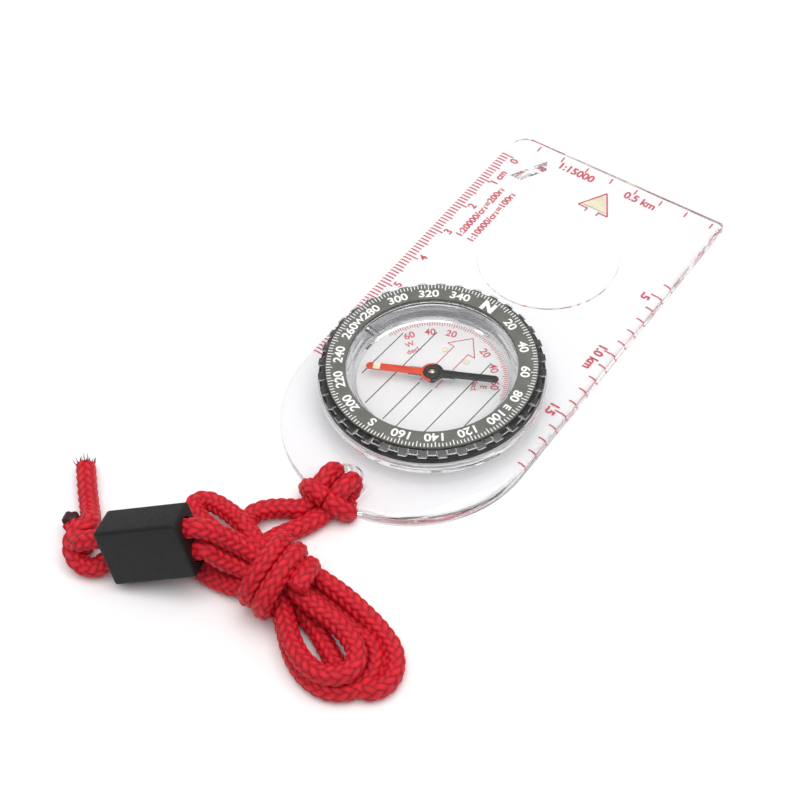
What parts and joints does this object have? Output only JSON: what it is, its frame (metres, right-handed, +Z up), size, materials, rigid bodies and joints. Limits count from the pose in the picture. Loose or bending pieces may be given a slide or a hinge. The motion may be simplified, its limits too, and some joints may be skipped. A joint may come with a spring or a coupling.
{
  "type": "baseplate compass",
  "caption": "Clear baseplate compass with turning degree dial, liquid capsule, balanced needle, map scales, magnifier and a knotted braided lanyard with a cord bead.",
  "frame": {"origin": "centre of the baseplate's box, on its underside", "axes": "+Y along the baseplate towards its square travel end, +Z up out of the plate's top face, +X to the right"},
  "size_m": [0.0869, 0.1561, 0.0194],
  "materials": {
    "clear_acrylic": "polished clear acrylic",
    "luminous": "pale luminous paint",
    "grey_print": "grey with white numerals",
    "black_plastic": "black, satin",
    "steel": "bright",
    "needle_red": "red enamel",
    "needle_black": "black enamel",
    "jewel": "polished",
    "red_braid": "braided polyester cord",
    "bead_black": "matt black"
  },
  "bodies": {
    "plate": {"baseplate": "clear_acrylic", "luminous_arrow": "luminous", "lanyard_hitch": "red_braid", "lanyard_lead_left": "red_braid", "lanyard_lead_right": "red_braid", "lanyard_knot": "red_braid", "lanyard_fold": "red_braid", "lanyard_loops": "red_braid", "lanyard_strand_upper": "red_braid", "lanyard_strand_lower": "red_braid", "cord_bead": "bead_black", "lanyard_end_knot": "red_braid", "lanyard_tail_long": "red_braid", "lanyard_tail_short": "red_braid"},
    "dial": {"grip_ring": "clear_acrylic", "scale_ring": "grey_print", "seat_ring": "black_plastic", "capsule_cup": "clear_acrylic", "capsule_window": "clear_acrylic", "orienting_disc": "clear_acrylic", "retaining_ring": "clear_acrylic", "filler_plug": "grey_print", "pivot_pin": "steel", "luminous_dot_left": "luminous", "luminous_dot_right": "luminous"},
    "needle": {"needle_north": "needle_red", "needle_south": "needle_black", "needle_magnet": "steel", "hub_cap": "needle_black", "jewel_bearing": "jewel", "luminous_strip": "luminous"}
  },
  "joints": [
    {"name": "dial_turn", "type": "hinge", "parent": "plate", "child": "dial", "pos_m": [0, -0.02085, 0], "axis": [0, 0, 1], "continuous": true},
    {"name": "needle_swing", "type": "hinge", "parent": "dial", "child": "needle", "pos_m": [0, -0.02085, 0.0062], "axis": [0, 0, 1], "continuous": true}
  ]
}
